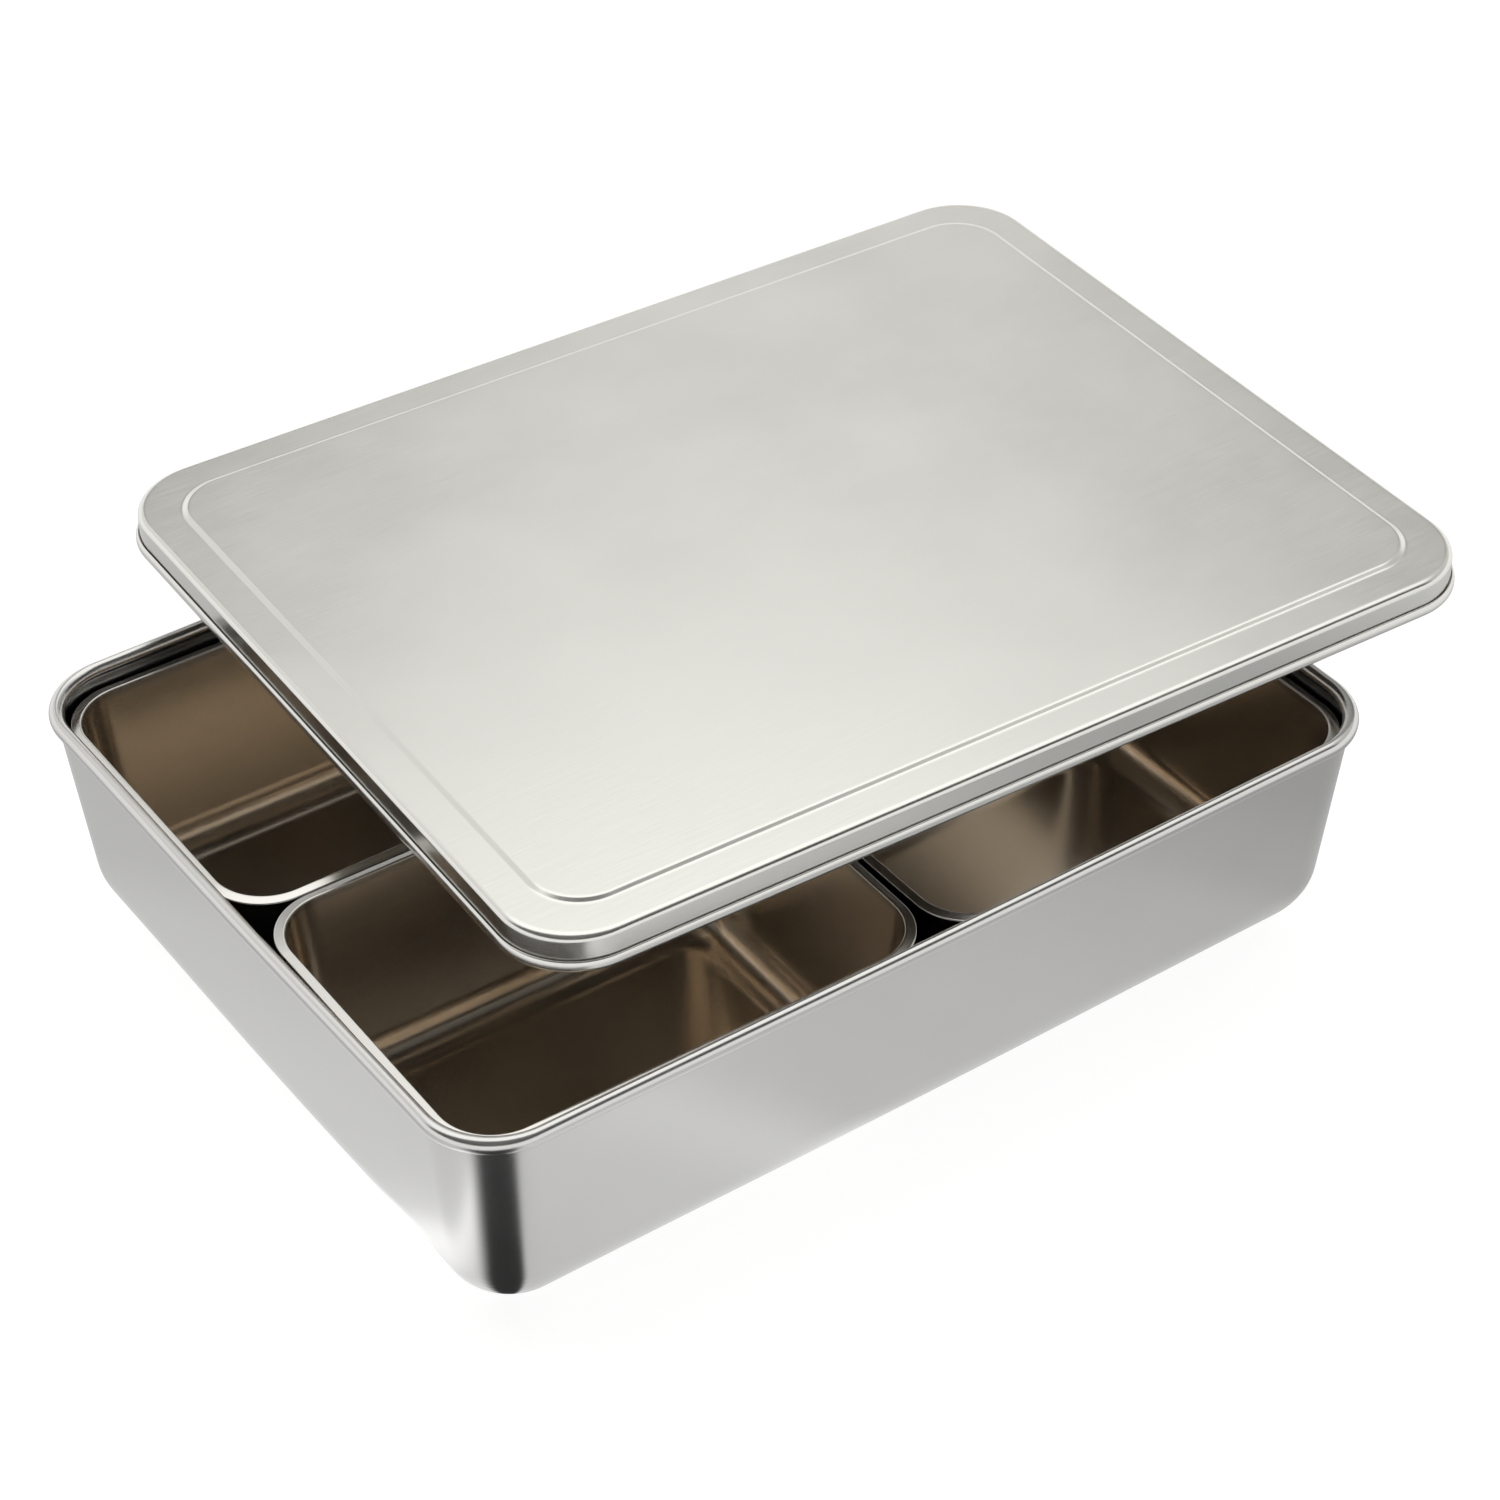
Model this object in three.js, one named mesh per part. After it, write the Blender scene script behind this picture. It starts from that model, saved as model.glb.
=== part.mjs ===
// A stainless steel condiment box: a deep-drawn outer tray with a rolled rim, four loose pans that
// stand in it two by two, and a loose lid held askew above the rim. Millimetres, +Z up.
// The origin is the centre of the tray's foot, +X runs along the tray and +Y towards its back.
import * as THREE from 'three';

const SHEET = 0.65;            // thickness of the steel the tray and the lid are drawn from
const PAN_SHEET = 0.6;         // thickness of the steel of the pans
const STEEL_COLOUR = 0xc8c9ca;

// How finely the curved surfaces are divided.
const CORNER_STEPS = 6;
const FILLET_STEPS = 6;
const ROLL_STEPS = 9;
const EDGE_STEPS = 3;

// A drawn corner gets tighter as the wall comes in: this much less radius for each unit of inset.
const CORNER_TIGHTENING = 0.6;
const MIN_CORNER = 1.5;

const TRAY = {
  length: 265,
  width: 207,
  height: 65,
  corner: 19.5,
  bow: 0.5,                    // how far the middle of each side stands out
  sideSteps: 4,
  rollHalfWidth: 1.72,
  rollHalfHeight: 2.15,
  footInset: 7.2,              // inset of the wall's line where it meets the ground plane
  topInset: 1.9,               // inset of the wall just under the rolled rim
  fillet: 19,
};

const PAN = {
  length: 127,
  width: 98,
  height: 55.4,
  corner: 15.4,
  bow: 0,
  sideSteps: 1,
  flangeWidth: 2.4,
  flangeDrop: 0.9,             // height of the flange's turned-down edge
  flangeRound: 0.35,
  footInset: 5.9,
  topInset: 2.0,
  fillet: 10,
};
const PAN_STANDS_AT = 3.6;     // height of a pan's foot, which the tray's bottom radius holds up

const LID = {
  length: 270.2,
  width: 216,
  height: 9.4,                 // hem to border, without the raised panel
  corner: 20.2,
  bow: 0,
  sideSteps: 1,
  hemHeight: 2.9,
  hemFlare: 0.2,               // how much further out the foot of the hem stands than its top
  hemRound: 0.3,
  skirtFoot: 0.95,             // inset of the skirt where it leaves the hem
  skirtTop: 1.0,               // inset of the skirt where it meets the rounded edge
  edgeRadius: 1.7,
  panelInset: 11,
  panelSlope: 1.1,
  panelRise: 0.8,
};
const LID_PLACE = { x: 40.8, y: 20.1, z: 80.8, yaw: -2.3 };

const PAN_PLACES = [
  { name: 'pan_front_left', x: -63.5, y: -48.54, yaw: -0.84 },
  { name: 'pan_front_right', x: 64.75, y: -50.45, yaw: 0.61 },
  { name: 'pan_back_left', x: -64.35, y: 49.96, yaw: -0.72 },
  { name: 'pan_back_right', x: 64.5, y: 49.5, yaw: 0.3 },
];

/** Points on an elliptical arc of a profile, given its centre, radii and end angles in degrees. */
function arc(inset, z, radiusAcross, radiusUp, from, to, steps) {
  const turn = THREE.MathUtils.degToRad;
  const curve = new THREE.EllipseCurve(inset, z, radiusAcross, radiusUp, turn(from), turn(to), to < from);
  return curve.getPoints(steps);
}

/** One level ring round a box: arcs at the corners, sides that bow out, set in by `inset`. */
function ring(outline, inset, z) {
  const radius = Math.max(outline.corner - CORNER_TIGHTENING * inset, MIN_CORNER);
  const centreX = outline.length / 2 - inset - radius;
  const centreY = outline.width / 2 - inset - radius;
  const corners = [[1, 1], [-1, 1], [-1, -1], [1, -1]].map(([signX, signY], quarter) => {
    const start = quarter * Math.PI / 2;
    return new THREE.EllipseCurve(
      signX * centreX, signY * centreY, radius, radius, start, start + Math.PI / 2, false,
    ).getPoints(CORNER_STEPS);
  });
  const points = [];
  corners.forEach((corner, quarter) => {
    const next = corners[(quarter + 1) % corners.length];
    const outward = (quarter + 1) * Math.PI / 2;
    points.push(...corner);
    for (let step = 1; step < outline.sideSteps; step += 1) {
      const along = step / outline.sideSteps;
      const stand = outline.bow * Math.sin(Math.PI * along) ** 2;
      const point = corner[CORNER_STEPS].clone().lerp(next[0], along);
      points.push(point.add(new THREE.Vector2(Math.cos(outward), Math.sin(outward)).multiplyScalar(stand)));
    }
  });
  return points.map((point) => new THREE.Vector3(point.x, point.y, z));
}

/**
 * A closed body drawn from sheet. The profile is a list of (inset, height) points that starts at
 * the rim of the lower flat, goes out and round the edge, and ends at the rim of the upper flat.
 * Both flats are closed by a fan about the middle.
 */
function drawnShell(outline, profile) {
  const rings = profile.map((point) => ring(outline, point.x, point.y));
  const count = rings[0].length;
  const positions = rings.flat().flatMap((point) => point.toArray());
  const lowerMiddle = rings.length * count;
  const upperMiddle = lowerMiddle + 1;
  positions.push(0, 0, profile[0].y, 0, 0, profile[profile.length - 1].y);

  const triangles = [];
  for (let side = 0; side < count; side += 1) {
    const next = (side + 1) % count;
    for (let level = 0; level < rings.length - 1; level += 1) {
      const low = level * count;
      const high = low + count;
      triangles.push(low + side, low + next, high + next, low + side, high + next, high + side);
    }
    const last = (rings.length - 1) * count;
    triangles.push(lowerMiddle, next, side, upperMiddle, last + side, last + next);
  }
  const geometry = new THREE.BufferGeometry();
  geometry.setAttribute('position', new THREE.Float32BufferAttribute(positions, 3));
  geometry.setIndex(triangles);
  geometry.computeVertexNormals();
  return geometry;
}

/** The rounded foot of a drawn box: an arc tangent to the ground and to the leaning wall. */
function footArc(footInset, lean, fillet, floor) {
  const centreInset = footInset + fillet * Math.tan(THREE.MathUtils.degToRad(90 - lean) / 2);
  return arc(centreInset, floor + fillet, fillet, fillet, 270, 180 + lean, FILLET_STEPS);
}

/** Lean of a wall from the vertical, in degrees, from its insets at the foot and at a height. */
function wallLean(footInset, topInset, height) {
  return THREE.MathUtils.radToDeg(Math.atan2(footInset - topInset, height));
}

function steel(roughness) {
  return new THREE.MeshStandardMaterial({ color: STEEL_COLOUR, metalness: 0.95, roughness });
}

function namedMesh(name, geometry, material) {
  const mesh = new THREE.Mesh(geometry, material);
  mesh.name = name;
  return mesh;
}

/** The outer tray: a flat foot, a large bottom radius, leaning walls and a rolled rim. */
function outerTray() {
  const rollCentre = TRAY.height - TRAY.rollHalfHeight;
  const wallTop = TRAY.height - 2 * TRAY.rollHalfHeight + SHEET;
  const lean = wallLean(TRAY.footInset, TRAY.topInset, wallTop);
  const inside = footArc(TRAY.footInset + SHEET, lean, TRAY.fillet - SHEET, SHEET);
  const profile = [
    ...footArc(TRAY.footInset, lean, TRAY.fillet, 0),
    ...arc(TRAY.rollHalfWidth, rollCentre, TRAY.rollHalfWidth, TRAY.rollHalfHeight, 270, 0, ROLL_STEPS),
    new THREE.Vector2(TRAY.topInset + SHEET, wallTop),
    ...inside.reverse(),
  ];
  return namedMesh('outer_tray', drawnShell(TRAY, profile), steel(0.3));
}

/** One pan: a drawn box with a narrow flat flange whose edge is turned down. */
function pan(place) {
  const lean = wallLean(PAN.footInset, PAN.topInset, PAN.height - PAN_SHEET);
  const inside = footArc(PAN.footInset + PAN_SHEET, lean, PAN.fillet - PAN_SHEET, PAN_SHEET);
  const round = PAN.flangeRound;
  const profile = [
    ...footArc(PAN.footInset, lean, PAN.fillet, 0),
    new THREE.Vector2(PAN.topInset, PAN.height - PAN_SHEET),
    new THREE.Vector2(PAN_SHEET, PAN.height - PAN_SHEET),
    new THREE.Vector2(PAN_SHEET, PAN.height - PAN.flangeDrop),
    new THREE.Vector2(0, PAN.height - PAN.flangeDrop),
    ...arc(round, PAN.height - round, round, round, 180, 90, EDGE_STEPS),
    ...arc(PAN.flangeWidth - round, PAN.height - round, round, round, 90, 0, EDGE_STEPS),
    ...inside.reverse(),
  ];
  const mesh = namedMesh(place.name, drawnShell(PAN, profile), steel(0.15));
  mesh.position.set(place.x, place.y, PAN_STANDS_AT);
  mesh.rotation.z = THREE.MathUtils.degToRad(place.yaw);
  return mesh;
}

/** The lid: a flared hem, a skirt that leans in, a rounded edge, a level border, a raised panel. */
function lid() {
  const radius = LID.edgeRadius;
  const edge = LID.skirtTop + radius;
  const inner = radius - SHEET;
  const top = LID.height + LID.panelRise;
  const round = LID.hemRound;
  const profile = [
    new THREE.Vector2(LID.panelInset + LID.panelSlope, top - SHEET),
    new THREE.Vector2(LID.panelInset, LID.height - SHEET),
    ...arc(edge, LID.height - radius, inner, inner, 90, 180, EDGE_STEPS),
    new THREE.Vector2(LID.skirtFoot + SHEET, 0),
    ...arc(round, round, round, round, 270, 180, EDGE_STEPS),
    ...arc(LID.hemFlare + round, LID.hemHeight - round, round, round, 180, 60, EDGE_STEPS),
    new THREE.Vector2(LID.skirtFoot, LID.hemHeight - 2 * round),
    ...arc(edge, LID.height - radius, radius, radius, 180, 90, EDGE_STEPS),
    new THREE.Vector2(LID.panelInset, LID.height),
    new THREE.Vector2(LID.panelInset + LID.panelSlope, top),
  ];
  const mesh = namedMesh('lid', drawnShell(LID, profile), steel(0.3));
  mesh.position.set(LID_PLACE.x, LID_PLACE.y, LID_PLACE.z);
  mesh.rotation.z = THREE.MathUtils.degToRad(LID_PLACE.yaw);
  return mesh;
}

const condimentBox = new THREE.Group();
condimentBox.add(outerTray(), ...PAN_PLACES.map(pan), lid());

export default condimentBox;
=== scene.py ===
"""The looks of a stainless steel condiment box: an outer tray, four inner pans and a lid.

Each piece is one drawn sheet of steel, lofted from a profile round a rounded rectangle. The
profiles repeat the CAD part's dimensions, with finer curves and the small folds of the real rims.
"""

import math

import bpy
from mathutils import Matrix, Vector

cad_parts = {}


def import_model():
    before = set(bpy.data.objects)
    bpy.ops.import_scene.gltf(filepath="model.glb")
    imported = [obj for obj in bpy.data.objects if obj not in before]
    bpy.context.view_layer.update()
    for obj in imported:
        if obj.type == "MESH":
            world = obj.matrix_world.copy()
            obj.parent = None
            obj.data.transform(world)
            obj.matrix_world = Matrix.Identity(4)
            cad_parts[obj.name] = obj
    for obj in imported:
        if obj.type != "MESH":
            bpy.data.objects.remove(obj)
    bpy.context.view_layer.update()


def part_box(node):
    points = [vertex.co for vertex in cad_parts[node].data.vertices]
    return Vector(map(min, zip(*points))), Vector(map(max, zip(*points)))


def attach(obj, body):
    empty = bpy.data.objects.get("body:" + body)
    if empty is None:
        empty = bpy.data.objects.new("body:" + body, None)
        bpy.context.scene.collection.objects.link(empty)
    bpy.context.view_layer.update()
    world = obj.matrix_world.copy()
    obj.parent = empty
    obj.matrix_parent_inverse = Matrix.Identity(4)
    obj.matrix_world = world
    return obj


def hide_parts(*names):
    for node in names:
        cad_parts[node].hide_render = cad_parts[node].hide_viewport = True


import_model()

MM = 0.001

# How finely the curved surfaces are divided.
CORNER_STEPS = 20
SIDE_STEPS = 10
CAP_RINGS = 7              # steps from a flat's edge to its middle
FOOT_STEPS = 16
ROLL_STEPS = 24
EDGE_STEPS = 6
HEM_FOOT_STEPS = 8
HEM_STEPS = 14
SKIRT_STEPS = 14
INNER_STEPS = 8
BEND_STEPS = 4
FIRST_CAP_RING = 0.985     # size of the outermost ring of a flat, as a share of its edge
SUPPORT = 0.35             # how far from a bend the supporting rings stand, in millimetres
LONG = 3 * SUPPORT         # straight stretches longer than this get supporting rings

# Dimensions in millimetres. Insets are measured inwards from the piece's outline.
CORNER_TIGHTENING = 0.6    # a corner's radius shrinks by this much for each unit of inset
MIN_CORNER = 1.5
SHEET = 0.65
PAN_SHEET = 0.6
TRAY = dict(length=265, width=207, height=65, corner=19.5, bow=0.5, roll_across=1.72, roll_up=2.15,
            foot_inset=7.2, top_inset=1.9, fillet=19)
# A pan's flange falls by fall towards its edge, and the edge is turned down to drop below the top.
PAN = dict(length=127, width=98, height=55.4, corner=15.4, bow=0, flange=2.4, fall=0.3, drop=1.25,
           round=0.35, foot_inset=5.9, top_inset=2.0, fillet=10)
# The lid's hem is a bead that stands out most at hem_bulge, with a slot of depth crease behind its top.
LID = dict(length=270.2, width=216, height=9.4, corner=20.2, bow=0, hem_height=2.9, hem_width=0.65,
           hem_bulge=0.9, crease=1.1, skirt_foot=0.95, skirt_top=1.0, edge_radius=1.7,
           panel_inset=11, panel_slope=1.1, panel_rise=0.8, panel_bend=0.35)
PANEL_MARGIN = 5           # how far in the point stands that gives the direction of the lid's panel

# How each piece is turned about the upright axis, in degrees.
YAW = dict(pan_front_left=-0.84, pan_front_right=0.61, pan_back_left=-0.72, pan_back_right=0.3, lid=-2.3)


# ---------------------------------------------------------------- profiles and lofts

def arc(inset, z, across, up, start, end, steps):
    """Points of an elliptical arc in a profile's (inset, height) plane. Angles in degrees."""
    points = []
    for step in range(steps + 1):
        turn = math.radians(start + (end - start) * step / steps)
        points.append((inset + across * math.cos(turn), z + up * math.sin(turn)))
    return points


def supported(points):
    """The profile with two extra points near the ends of each long straight stretch."""
    result = [points[0]]
    for before, after in zip(points, points[1:]):
        length = math.dist(before, after)
        if length > LONG:
            for share in (SUPPORT / length, 0.5, 1 - SUPPORT / length):
                result.append(tuple(a + (b - a) * share for a, b in zip(before, after)))
        result.append(after)
    return result


def ring(size, inset, z):
    """One level ring: rounded corners, and sides that stand out a little in the middle."""
    radius = max(size["corner"] - CORNER_TIGHTENING * inset, MIN_CORNER)
    centre_x = size["length"] / 2 - inset - radius
    centre_y = size["width"] / 2 - inset - radius
    corners = []
    for quarter, (sign_x, sign_y) in enumerate(((1, 1), (-1, 1), (-1, -1), (1, -1))):
        corner_x, corner_y = sign_x * centre_x, sign_y * centre_y
        turns = [math.radians(90 * (quarter + step / CORNER_STEPS)) for step in range(CORNER_STEPS + 1)]
        corners.append([(corner_x + radius * math.cos(turn), corner_y + radius * math.sin(turn))
                        for turn in turns])
    points = []
    for quarter, corner in enumerate(corners):
        start, end = corner[-1], corners[(quarter + 1) % 4][0]
        outward = math.radians(90 * (quarter + 1))
        points += corner
        for step in range(1, SIDE_STEPS):
            along = step / SIDE_STEPS
            stand = size["bow"] * math.sin(math.pi * along) ** 2
            points.append((start[0] + (end[0] - start[0]) * along + stand * math.cos(outward),
                           start[1] + (end[1] - start[1]) * along + stand * math.sin(outward)))
    return [(x, y, z) for x, y in points]


def cap_rings(edge):
    """Rings of a flat, shrinking from its edge towards its middle."""
    shares = [FIRST_CAP_RING] + [1 - step / CAP_RINGS for step in range(2, CAP_RINGS)]
    return [[(x * share, y * share, z) for x, y, z in edge] for share in shares]


def drawn_mesh(name, size, profile):
    """A closed mesh in millimetres from a profile that runs from the lower flat round to the upper."""
    rings = [ring(size, inset, z) for inset, z in profile]
    lower = cap_rings(rings[0])[::-1]
    rings = lower + rings + cap_rings(rings[-1])
    count = len(rings[0])
    vertices = [point for level in rings for point in level]
    faces = []
    for level in range(len(rings) - 1):
        low, high = level * count, (level + 1) * count
        for side in range(count):
            after = (side + 1) % count
            faces.append((low + side, low + after, high + after, high + side))
    lower_middle, upper_middle = len(vertices), len(vertices) + 1
    vertices += [(0, 0, profile[0][1]), (0, 0, profile[-1][1])]
    last = (len(rings) - 1) * count
    for side in range(count):
        after = (side + 1) % count
        faces.append((lower_middle, after, side))
        faces.append((upper_middle, last + side, last + after))
    mesh = bpy.data.meshes.new(name)
    mesh.from_pydata(vertices, [], faces)
    mesh.shade_smooth()
    heights = [z for _, z in profile]
    mark_inside(mesh, (len(lower) + heights.index(max(heights)) + 1) * count, lower_middle)
    return mesh


def mark_inside(mesh, first, lower_middle):
    """Gives the points from first on, which come after the profile's top, an inside value of 1."""
    # The pan steel paints its warm reflected light where this value is 1.
    inside = mesh.attributes.new("inside", "FLOAT", "POINT")
    for place, point in enumerate(inside.data):
        point.value = 1.0 if place >= first and place != lower_middle else 0.0


def foot_arc(size, sheet, floor):
    """The rounded foot: an arc tangent to the floor and to the leaning wall."""
    lean = math.degrees(math.atan2(size["foot_inset"] - size["top_inset"], size["height"]))
    fillet = size["fillet"] - sheet
    centre = size["foot_inset"] + sheet + fillet * math.tan(math.radians(90 - lean) / 2)
    return arc(centre, floor + fillet, fillet, fillet, 270, 180 + lean, FOOT_STEPS)


def tray_profile():
    """The tray: a rounded foot, a leaning wall and a bead rolled outwards along the rim."""
    top, across, up = TRAY["height"], TRAY["roll_across"], TRAY["roll_up"]
    wall_top = top - 2 * up + SHEET
    roll = arc(across, top - up, across, up, 270, 0, ROLL_STEPS)
    return supported(foot_arc(TRAY, 0, 0) + roll + [(TRAY["top_inset"] + SHEET, wall_top)]
                     + foot_arc(TRAY, SHEET, SHEET)[::-1])


def pan_profile():
    """A pan: a rounded foot, a leaning wall and a narrow flange whose edge is turned down."""
    top, turn = PAN["height"], PAN["round"]
    outer, lowest = top - PAN["fall"], top - PAN["drop"]
    flange = [(PAN["top_inset"], top - PAN_SHEET), (PAN_SHEET, outer - PAN_SHEET), (PAN_SHEET, lowest),
              (0, lowest)]
    edge = arc(turn, outer - turn, turn, turn, 180, 90, EDGE_STEPS)
    lip = arc(PAN["flange"] - turn, top - turn, turn, turn, 90, 0, EDGE_STEPS)
    return supported(foot_arc(PAN, 0, 0) + flange + edge + lip + foot_arc(PAN, PAN_SHEET, PAN_SHEET)[::-1])


def bend(before, corner, after):
    """A small rounding of a profile's corner between the directions of two other points."""
    reach = LID["panel_bend"]
    start = [c + (b - c) * reach / math.dist(before, corner) for b, c in zip(before, corner)]
    end = [c + (a - c) * reach / math.dist(after, corner) for a, c in zip(after, corner)]
    points = []
    for step in range(BEND_STEPS + 1):
        t = step / BEND_STEPS
        weights = ((1 - t) ** 2, 2 * t * (1 - t), t ** 2)
        points.append(tuple(sum(weight * value for weight, value in zip(weights, values))
                            for values in zip(start, corner, end)))
    return points


def lid_profile():
    """The lid: a beaded hem, a slot, an upright skirt, a rounded edge, a border and a raised panel."""
    radius, height = LID["edge_radius"], LID["height"]
    top = height + LID["panel_rise"]
    foot, up = LID["skirt_foot"], LID["hem_height"]
    bead, bulge = LID["hem_width"], LID["hem_bulge"]
    edge = LID["skirt_top"] + radius
    outer = (LID["panel_inset"], height)
    inner = (LID["panel_inset"] + LID["panel_slope"], top)
    inside = [(inner[0], top - SHEET), (outer[0], height - SHEET)]
    inside += arc(edge, height - radius, radius - SHEET, radius - SHEET, 90, 180, INNER_STEPS)
    hem = [(foot + SHEET, 0)] + arc(bead, bulge, bead, bulge, 270, 180, HEM_FOOT_STEPS)
    hem += arc(bead, bulge, bead, up - bulge, 180, 90, HEM_STEPS)[1:]
    crease = [(foot, up - LID["crease"])]
    rounding = arc(edge, height - radius, radius, radius, 180, 90, SKIRT_STEPS)
    step = bend(rounding[-1], outer, inner) + bend(outer, inner, (inner[0] + PANEL_MARGIN, top))
    return supported(inside + hem + crease + rounding + step + [(inner[0] + 2 * SUPPORT, top)])


# ---------------------------------------------------------------- materials

SMUDGE_SCALE = 22
SMUDGE_DETAIL = 4
SMUDGE_RANGE = (0.35, 0.65)            # noise values that give the darkest and the plain tint
SMUDGE_DARKEST = 0.97                  # the darkest tint, as a share of the plain one
GRAIN_STRETCH = (120, 2600, 2600)      # the grain runs along X
GRAIN_DETAIL = 3
GRAIN_DEPTH = 0.00002                  # metres
UNEVEN_RANGE = (0.6, 1.4)              # sums of both noises that give the least and the most roughness
INSIDE_TOP = 0.0584                    # height of the underside of a pan's flange, in metres
INSIDE_FADE = 0.0025                   # how far below it the inside tint reaches its full strength
MIX_A, MIX_B, MIX_RESULT = 6, 7, 2     # places of a Mix node's colour sockets


def steel(name, tint, roughness, variation, grain, inside=None):
    """Satin stainless steel with fine drawn grain and soft smudges.

    inside is a warmer, lighter tint painted on the inside of a pan below its flange: painted warm
    reflected light in the hollow.
    """
    material = bpy.data.materials.new(name)
    material.use_nodes = True
    nodes, links = material.node_tree.nodes, material.node_tree.links
    shader = nodes["Principled BSDF"]
    shader.inputs["Metallic"].default_value = 1.0
    place = nodes.new("ShaderNodeTexCoord")

    smudge = nodes.new("ShaderNodeTexNoise")
    smudge.inputs["Scale"].default_value = SMUDGE_SCALE
    smudge.inputs["Detail"].default_value = SMUDGE_DETAIL
    links.new(place.outputs["Object"], smudge.inputs["Vector"])

    stretch = nodes.new("ShaderNodeMapping")
    stretch.inputs["Scale"].default_value = GRAIN_STRETCH
    links.new(place.outputs["Object"], stretch.inputs["Vector"])
    lines = nodes.new("ShaderNodeTexNoise")
    lines.inputs["Scale"].default_value = 1
    lines.inputs["Detail"].default_value = GRAIN_DETAIL
    links.new(stretch.outputs["Vector"], lines.inputs["Vector"])

    mixed = nodes.new("ShaderNodeMath")
    mixed.operation = "ADD"
    links.new(smudge.outputs["Fac"], mixed.inputs[0])
    links.new(lines.outputs["Fac"], mixed.inputs[1])
    rough = nodes.new("ShaderNodeMapRange")
    rough.inputs["From Min"].default_value = UNEVEN_RANGE[0]
    rough.inputs["From Max"].default_value = UNEVEN_RANGE[1]
    rough.inputs["To Min"].default_value = roughness - variation
    rough.inputs["To Max"].default_value = roughness + variation
    links.new(mixed.outputs[0], rough.inputs["Value"])
    links.new(rough.outputs["Result"], shader.inputs["Roughness"])

    colour = nodes.new("ShaderNodeValToRGB")
    colour.color_ramp.elements[0].color = (*[c * SMUDGE_DARKEST for c in tint], 1)
    colour.color_ramp.elements[1].color = (*tint, 1)
    colour.color_ramp.elements[0].position = SMUDGE_RANGE[0]
    colour.color_ramp.elements[1].position = SMUDGE_RANGE[1]
    links.new(smudge.outputs["Fac"], colour.inputs["Fac"])
    # Painted light: the inside of a pan below its flange is tinted warmer and lighter, standing in for
    # warm reflected light in the hollow.
    if inside:
        height = nodes.new("ShaderNodeSeparateXYZ")
        links.new(place.outputs["Object"], height.inputs["Vector"])
        below = nodes.new("ShaderNodeMapRange")
        below.interpolation_type = "SMOOTHSTEP"
        below.inputs["From Min"].default_value = INSIDE_TOP - INSIDE_FADE
        below.inputs["From Max"].default_value = INSIDE_TOP
        below.inputs["To Min"].default_value = 1
        below.inputs["To Max"].default_value = 0
        links.new(height.outputs["Z"], below.inputs["Value"])
        hollow = nodes.new("ShaderNodeAttribute")
        hollow.attribute_name = "inside"
        share = nodes.new("ShaderNodeMath")
        share.operation = "MULTIPLY"
        links.new(hollow.outputs["Fac"], share.inputs[0])
        links.new(below.outputs["Result"], share.inputs[1])
        painted_warm_light = nodes.new("ShaderNodeMix")
        painted_warm_light.data_type = "RGBA"
        painted_warm_light.blend_type = "MULTIPLY"
        links.new(share.outputs[0], painted_warm_light.inputs["Factor"])
        links.new(colour.outputs["Color"], painted_warm_light.inputs[MIX_A])
        painted_warm_light.inputs[MIX_B].default_value = (*[deep / plain for deep, plain in zip(inside, tint)], 1)
        links.new(painted_warm_light.outputs[MIX_RESULT], shader.inputs["Base Color"])
    else:
        links.new(colour.outputs["Color"], shader.inputs["Base Color"])

    bump = nodes.new("ShaderNodeBump")
    bump.inputs["Strength"].default_value = grain
    bump.inputs["Distance"].default_value = GRAIN_DEPTH
    links.new(lines.outputs["Fac"], bump.inputs["Height"])
    links.new(bump.outputs["Normal"], shader.inputs["Normal"])
    return material


# ---------------------------------------------------------------- pieces

def place_piece(node, mesh, material, body):
    """Puts a mesh made in millimetres about its own middle where the CAD node stands."""
    low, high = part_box(node)
    turn = Matrix.Rotation(math.radians(YAW.get(node, 0)), 4, "Z")
    shift = Matrix.Translation(((low.x + high.x) / 2, (low.y + high.y) / 2, low.z))
    mesh.transform(shift @ turn @ Matrix.Scale(MM, 4))
    mesh.materials.append(material)
    piece = bpy.data.objects.new(mesh.name, mesh)
    bpy.context.collection.objects.link(piece)
    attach(piece, body)
    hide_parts(node)


tray_steel = steel("tray_steel", tint=(0.58, 0.575, 0.565), roughness=0.22, variation=0.05, grain=0.25)
# The pans' inside tint is painted light: a warmer, lighter reflection in the hollow below the flange.
pan_steel = steel("pan_steel", tint=(0.62, 0.61, 0.585), roughness=0.2, variation=0.04, grain=0.2,
                  inside=(0.86, 0.765, 0.65))
lid_steel = steel("lid_steel", tint=(0.66, 0.655, 0.63), roughness=0.22, variation=0.05, grain=0.25)

place_piece("outer_tray", drawn_mesh("tray_shell", TRAY, tray_profile()), tray_steel, "tray")
for where in ("front_left", "front_right", "back_left", "back_right"):
    place_piece(f"pan_{where}", drawn_mesh(f"{where}_pan_shell", PAN, pan_profile()), pan_steel,
                f"{where}_pan")
place_piece("lid", drawn_mesh("lid_shell", LID, lid_profile()), lid_steel, "lid")


# ---------------------------------------------------------------- stage, light and camera

FORWARD = (-0.577, -0.817, 0)          # level, from the box towards the camera
ACROSS = (0.817, -0.577, 0)            # level, to the camera's right
UPRIGHT = (0, 0, 1)
CORNER = (-0.113, -0.084, 0)           # the middle of the tray's front left corner

# Reaches and heights of the stage are in metres.
FLOOR_REACH = 6.0
FLOOR_HEIGHT = -0.0002
FLOOR_COLOUR = (0.3, 0.3, 0.3, 1)
FLOOR_ROUGHNESS = 0.9
FLOOR_SHEEN = 0.1
FLOOR_GLOW = 0.85

CARD_REACH = 0.4
CARD_HEIGHT = -0.0001
CARD_FADE = (0.24, 0.38)               # distances from the middle over which the card fades out
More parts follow.
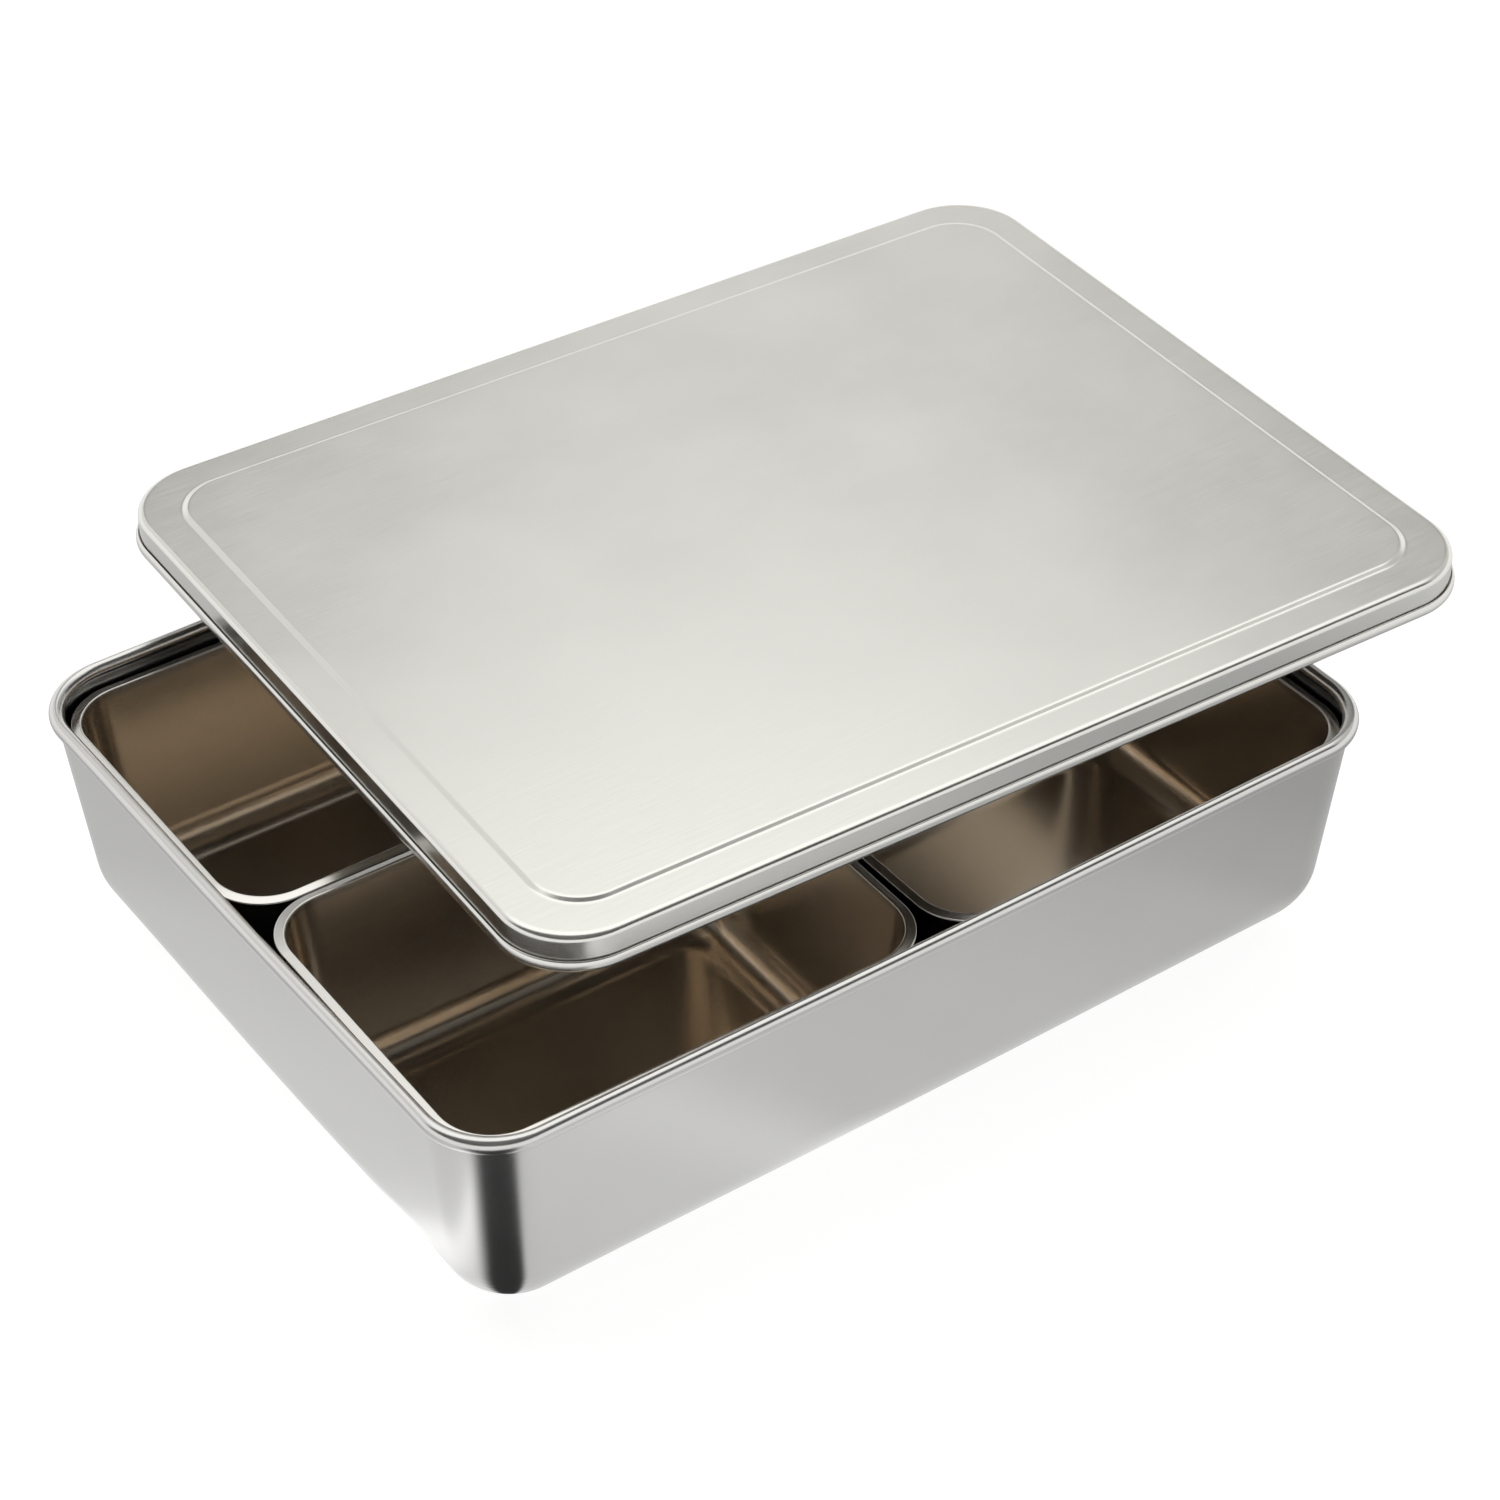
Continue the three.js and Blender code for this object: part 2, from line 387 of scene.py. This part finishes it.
# How light the table is, as (metres to the camera's right of the corner, grey).
TABLE_LIGHT = ((-0.25, 0.4), (-0.132, 0.46), (-0.106, 0.53), (-0.059, 0.58), (-0.047, 0.6), (-0.038, 0.66),
               (-0.029, 1.0), (-0.014, 0.7), (0.01, 0.56), (0.055, 0.6), (0.075, 0.66), (0.097, 0.54),
               (0.132, 0.52), (0.19, 0.47), (0.21, 0.4), (0.25, 0.34))
# A dark wedge runs from the corner towards the camera. Its soft edges are given as parts of a unit
# vector from the corner, along ACROSS and FORWARD.
WEDGE_LEFT = (-0.8, -0.25)
WEDGE_RIGHT = (0.56, 0.34)
WEDGE_FRONT = (0.2, 0.5)
WEDGE_SHADE = (0.0, 1.0, 1.5, 0.05)    # brightness of 1.5 outside the wedge and 0.05 in it

# The studio's soft steps, each as (start, end, brightness before it, brightness after it). Starts
# and ends are parts of a unit vector from the box, along UPRIGHT, ACROSS and FORWARD.
LAMP = (0.565, 0.665, 0.86, 1.6)       # upwards: the light above and behind
LAMP_FALLOFF = (0.6, 0.8, 18, 0)       # upwards: how fast the lamp's low part darkens sideways
LEFT_SIDE = (-0.27, -0.36, 0.35, 1.0)  # across
RIGHT_SIDE = (0.27, 0.36, 0.35, 0.72)  # across
DARK_FRONT = (0.09, -0.04, 0.12, 1.0)  # forwards: the share of the lamp that is left above the front
LOW_LIGHT = (0.47, 0.36, 0.0, 1.25)    # upwards: the white surroundings below the lamp
LIGHT_COLOUR = (1, 0.995, 0.97, 1)

# The viewing angle, which was fitted to the tray's edges in the photograph.
EYE = (-418.04, -621.57, 645.94)       # millimetres
EYE_RIGHT = (0.81643, -0.57736, -0.00974)
EYE_UP = (0.36567, 0.50388, 0.78256)
LENS = 93.07
SENSOR = 36
CLIP = (0.05, 50)


def plane(name, reach, height):
    """A level square of the stage, this far from the middle to each side."""
    mesh = bpy.data.meshes.new(name)
    corners = [(-reach, -reach, 0), (reach, -reach, 0), (reach, reach, 0), (-reach, reach, 0)]
    mesh.from_pydata(corners, [], [(0, 1, 2, 3)])
    thing = bpy.data.objects.new(name, mesh)
    thing.location.z = height
    bpy.context.collection.objects.link(thing)
    return thing


def floor():
    """A white table top: mostly its own light, over a grey that takes the box's soft shadow."""
    material = bpy.data.materials.new("pale_floor")
    material.use_nodes = True
    shader = material.node_tree.nodes["Principled BSDF"]
    shader.inputs["Base Color"].default_value = FLOOR_COLOUR
    shader.inputs["Roughness"].default_value = FLOOR_ROUGHNESS
    shader.inputs["Specular IOR Level"].default_value = FLOOR_SHEEN
    shader.inputs["Emission Color"].default_value = (1, 1, 1, 1)
    shader.inputs["Emission Strength"].default_value = FLOOR_GLOW
    plane("floor", FLOOR_REACH, FLOOR_HEIGHT).data.materials.append(material)


class Nodes:
    """Short names for the nodes that the stage is made from."""

    def __init__(self, tree):
        self.tree = tree

    def link(self, source, target):
        """Connects a socket to the target, or sets a plain value on it."""
        if hasattr(source, "is_linked"):
            self.tree.links.new(source, target)
        else:
            target.default_value = source

    def math(self, operation, first, second):
        node = self.tree.nodes.new("ShaderNodeMath")
        node.operation = operation
        self.link(first, node.inputs[0])
        self.link(second, node.inputs[1])
        return node.outputs[0]

    def vector(self, operation, first, second=(0, 0, 0), output="Vector"):
        node = self.tree.nodes.new("ShaderNodeVectorMath")
        node.operation = operation
        self.link(first, node.inputs[0])
        self.link(second, node.inputs[1])
        return node.outputs[output]

    def smooth(self, value, start, end, low=0.0, high=1.0):
        """low on start's side, high on end's side, and a soft step between them."""
        node = self.tree.nodes.new("ShaderNodeMapRange")
        node.interpolation_type = "SMOOTHSTEP"
        self.link(value, node.inputs["Value"])
        if start > end:
            start, end, low, high = end, start, high, low
        for name, setting in (("From Min", start), ("From Max", end), ("To Min", low), ("To Max", high)):
            node.inputs[name].default_value = setting
        return node.outputs["Result"]

    def ramp(self, value, stops):
        """A piecewise scale of grey along a value, from stops of (value, grey)."""
        start, end = stops[0][0], stops[-1][0]
        share = self.tree.nodes.new("ShaderNodeMapRange")
        self.link(value, share.inputs["Value"])
        share.inputs["From Min"].default_value = start
        share.inputs["From Max"].default_value = end
        node = self.tree.nodes.new("ShaderNodeValToRGB")
        node.color_ramp.interpolation = "EASE"
        elements = node.color_ramp.elements
        while len(elements) < len(stops):
            elements.new(0.5)
        for element, (position, grey) in zip(elements, stops):
            element.position = (position - start) / (end - start)
            element.color = (grey, grey, grey, 1)
        self.link(share.outputs["Result"], node.inputs["Fac"])
        return node.outputs["Color"]


def table_light():
    """The light and dark of the table round the box, which only the polished steel shows."""
    material = bpy.data.materials.new("table_light")
    material.use_nodes = True
    tree = material.node_tree
    tree.nodes.clear()
    nodes = Nodes(tree)
    place = tree.nodes.new("ShaderNodeTexCoord").outputs["Object"]
    from_corner = nodes.vector("SUBTRACT", place, CORNER)
    sideways = nodes.vector("DOT_PRODUCT", from_corner, ACROSS, output="Value")
    towards = nodes.vector("NORMALIZE", from_corner)
    level = nodes.ramp(sideways, TABLE_LIGHT)
    aside = nodes.vector("DOT_PRODUCT", towards, ACROSS, output="Value")
    forwards = nodes.vector("DOT_PRODUCT", towards, FORWARD, output="Value")
    dark = nodes.math("MULTIPLY", nodes.smooth(aside, *WEDGE_LEFT), nodes.smooth(aside, *WEDGE_RIGHT))
    dark = nodes.math("MULTIPLY", dark, nodes.smooth(forwards, *WEDGE_FRONT))
    shade = nodes.smooth(dark, *WEDGE_SHADE)
    glow = tree.nodes.new("ShaderNodeEmission")
    nodes.link(level, glow.inputs["Color"])
    nodes.link(shade, glow.inputs["Strength"])
    clear = tree.nodes.new("ShaderNodeBsdfTransparent")
    away = nodes.vector("LENGTH", place, output="Value")
    mix = tree.nodes.new("ShaderNodeMixShader")
    nodes.link(nodes.smooth(away, *CARD_FADE), mix.inputs["Fac"])
    nodes.link(glow.outputs["Emission"], mix.inputs[1])
    nodes.link(clear.outputs["BSDF"], mix.inputs[2])
    output = tree.nodes.new("ShaderNodeOutputMaterial")
    nodes.link(mix.outputs["Shader"], output.inputs["Surface"])
    card = plane("table_light", CARD_REACH, CARD_HEIGHT)
    card.data.materials.append(material)
    card.visible_camera = False
    card.visible_diffuse = False
    card.visible_shadow = False


def world():
    """A broad soft light above and behind, white surroundings, and a dark room above the front."""
    surroundings = bpy.data.worlds.new("studio")
    bpy.context.scene.world = surroundings
    surroundings.use_nodes = True
    tree = surroundings.node_tree
    nodes = Nodes(tree)
    direction = tree.nodes.new("ShaderNodeTexCoord").outputs["Generated"]
    height = nodes.vector("DOT_PRODUCT", direction, UPRIGHT, output="Value")
    sideways = nodes.vector("DOT_PRODUCT", direction, ACROSS, output="Value")
    forwards = nodes.vector("DOT_PRODUCT", direction, FORWARD, output="Value")
    lamp = nodes.smooth(height, *LAMP)
    square = nodes.math("MULTIPLY", sideways, sideways)
    falloff = nodes.math("MULTIPLY", square, nodes.smooth(height, *LAMP_FALLOFF))
    sides = nodes.math("MAXIMUM", nodes.smooth(sideways, *LEFT_SIDE), nodes.smooth(sideways, *RIGHT_SIDE))
    lamp = nodes.math("MAXIMUM", nodes.math("SUBTRACT", lamp, falloff), sides)
    above = nodes.math("MULTIPLY", lamp, nodes.smooth(forwards, *DARK_FRONT))
    strength = nodes.math("MAXIMUM", above, nodes.smooth(height, *LOW_LIGHT))
    background = tree.nodes["Background"]
    nodes.link(strength, background.inputs["Strength"])
    background.inputs["Color"].default_value = LIGHT_COLOUR


def camera():
    """The viewing angle: from the left and in front, looking down on the box."""
    data = bpy.data.cameras.new("camera")
    data.lens = LENS
    data.sensor_width = SENSOR
    data.clip_start, data.clip_end = CLIP
    right, up = Vector(EYE_RIGHT), Vector(EYE_UP)
    facing = Matrix((right, up, right.cross(up))).transposed().to_4x4()
    eye = bpy.data.objects.new("camera", data)
    bpy.context.collection.objects.link(eye)
    eye.matrix_world = Matrix.Translation(Vector(EYE) * MM) @ facing
    bpy.context.scene.camera = eye


floor()
table_light()
world()
camera()
bpy.context.scene.view_settings.view_transform = "Standard"
